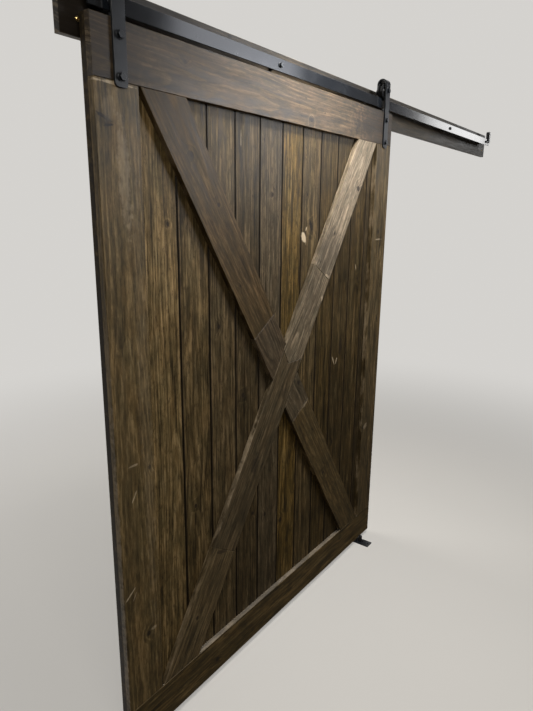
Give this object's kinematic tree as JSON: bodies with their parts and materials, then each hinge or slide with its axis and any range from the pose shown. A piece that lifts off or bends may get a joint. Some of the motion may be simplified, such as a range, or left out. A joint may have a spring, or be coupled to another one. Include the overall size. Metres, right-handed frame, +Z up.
{
  "type": "sliding barn door",
  "caption": "Sliding barn door with an X-braced plank front, hung by bent strap hangers and grooved wheels from a flat steel track on a wooden header board, with a roller floor guide.",
  "frame": {"origin": "middle of the header board's back face, which lies on the wall", "axes": "+X along the wall, the way the door opens; +Y into the wall; +Z up. The framed front faces -Y."},
  "size_m": [3.344, 0.145, 2.295],
  "materials": {
    "frame_wood": "dark walnut stain on pine, satin",
    "brace_wood": "dark walnut stain on pine, greyer than the frame, satin",
    "panel_wood": "dark walnut stain on tongue and groove pine, satin",
    "header_wood": "dark walnut stain on pine, satin",
    "black_steel": "black powder coat, semi-gloss",
    "black_nylon": "black nylon, turned",
    "bright_steel": "zinc plated steel",
    "bumper_rubber": "black rubber"
  },
  "bodies": {
    "header": {"end_stop_left": "black_steel", "end_stop_right": "black_steel", "guide_plate": "black_steel", "guide_studs": "black_steel", "header_board": "header_wood", "stop_bumper_left": "bumper_rubber", "stop_bumper_right": "bumper_rubber", "stop_set_screws": "black_steel", "track_bar": "black_steel", "track_lag_bolts": "black_steel", "track_spacers": "black_steel"},
    "door": {"anti_jump_discs": "black_nylon", "anti_jump_screws": "bright_steel", "axle_bolts": "black_steel", "axle_nuts": "black_steel", "axle_sleeves": "bright_steel", "axle_tubes": "bright_steel", "brace_falling_foot": "brace_wood", "brace_falling_head": "brace_wood", "brace_falling_lower": "brace_wood", "brace_falling_upper": "brace_wood", "brace_rising_foot": "brace_wood", "brace_rising_head": "brace_wood", "brace_rising_lower": "brace_wood", "brace_rising_upper": "brace_wood", "hanger_bolts": "black_steel", "hanger_nuts": "black_steel", "hanger_strap_left": "black_steel", "hanger_strap_right": "black_steel", "panel_board_01": "panel_wood", "panel_board_02": "panel_wood", "panel_board_03": "panel_wood", "panel_board_04": "panel_wood", "panel_board_05": "panel_wood", "panel_board_06": "panel_wood", "panel_board_07": "panel_wood", "panel_board_08": "panel_wood", "panel_board_09": "panel_wood", "panel_board_10": "panel_wood", "panel_board_11": "panel_wood", "panel_board_12": "panel_wood", "panel_board_13": "panel_wood", "rail_bottom": "frame_wood", "rail_top": "frame_wood", "stile_left": "frame_wood", "stile_right": "frame_wood"},
    "left_wheel": {"wheel_left": "black_nylon", "wheel_bearing_left": "bright_steel"},
    "right_wheel": {"wheel_right": "black_nylon", "wheel_bearing_right": "bright_steel"},
    "front_roller": {"guide_roller_front": "black_nylon"},
    "back_roller": {"guide_roller_back": "black_nylon"}
  },
  "joints": [
    {"name": "door_slide", "type": "slide", "parent": "header", "child": "door", "axis": [1, 0, 0], "range_m": [0, 1.588]},
    {"name": "left_wheel_turn", "type": "hinge", "parent": "door", "child": "left_wheel", "pos_m": [-1.548, -0.06, 0.0658], "axis": [0, 1, 0], "continuous": true},
    {"name": "right_wheel_turn", "type": "hinge", "parent": "door", "child": "right_wheel", "pos_m": [-0.04, -0.06, 0.0658], "axis": [0, 1, 0], "continuous": true},
    {"name": "front_roller_turn", "type": "hinge", "parent": "header", "child": "front_roller", "pos_m": [-0.078, -0.0875, -2.16], "axis": [0, 0, 1], "continuous": true},
    {"name": "back_roller_turn", "type": "hinge", "parent": "header", "child": "back_roller", "pos_m": [-0.078, -0.0285, -2.16], "axis": [0, 0, 1], "continuous": true}
  ],
  "couplings": [
    {"joint": "left_wheel_turn", "follows": "door_slide", "rad_per_m": 33.333},
    {"joint": "right_wheel_turn", "follows": "door_slide", "rad_per_m": 33.333},
    {"joint": "front_roller_turn", "follows": "door_slide", "rad_per_m": -100},
    {"joint": "back_roller_turn", "follows": "door_slide", "rad_per_m": 100}
  ]
}
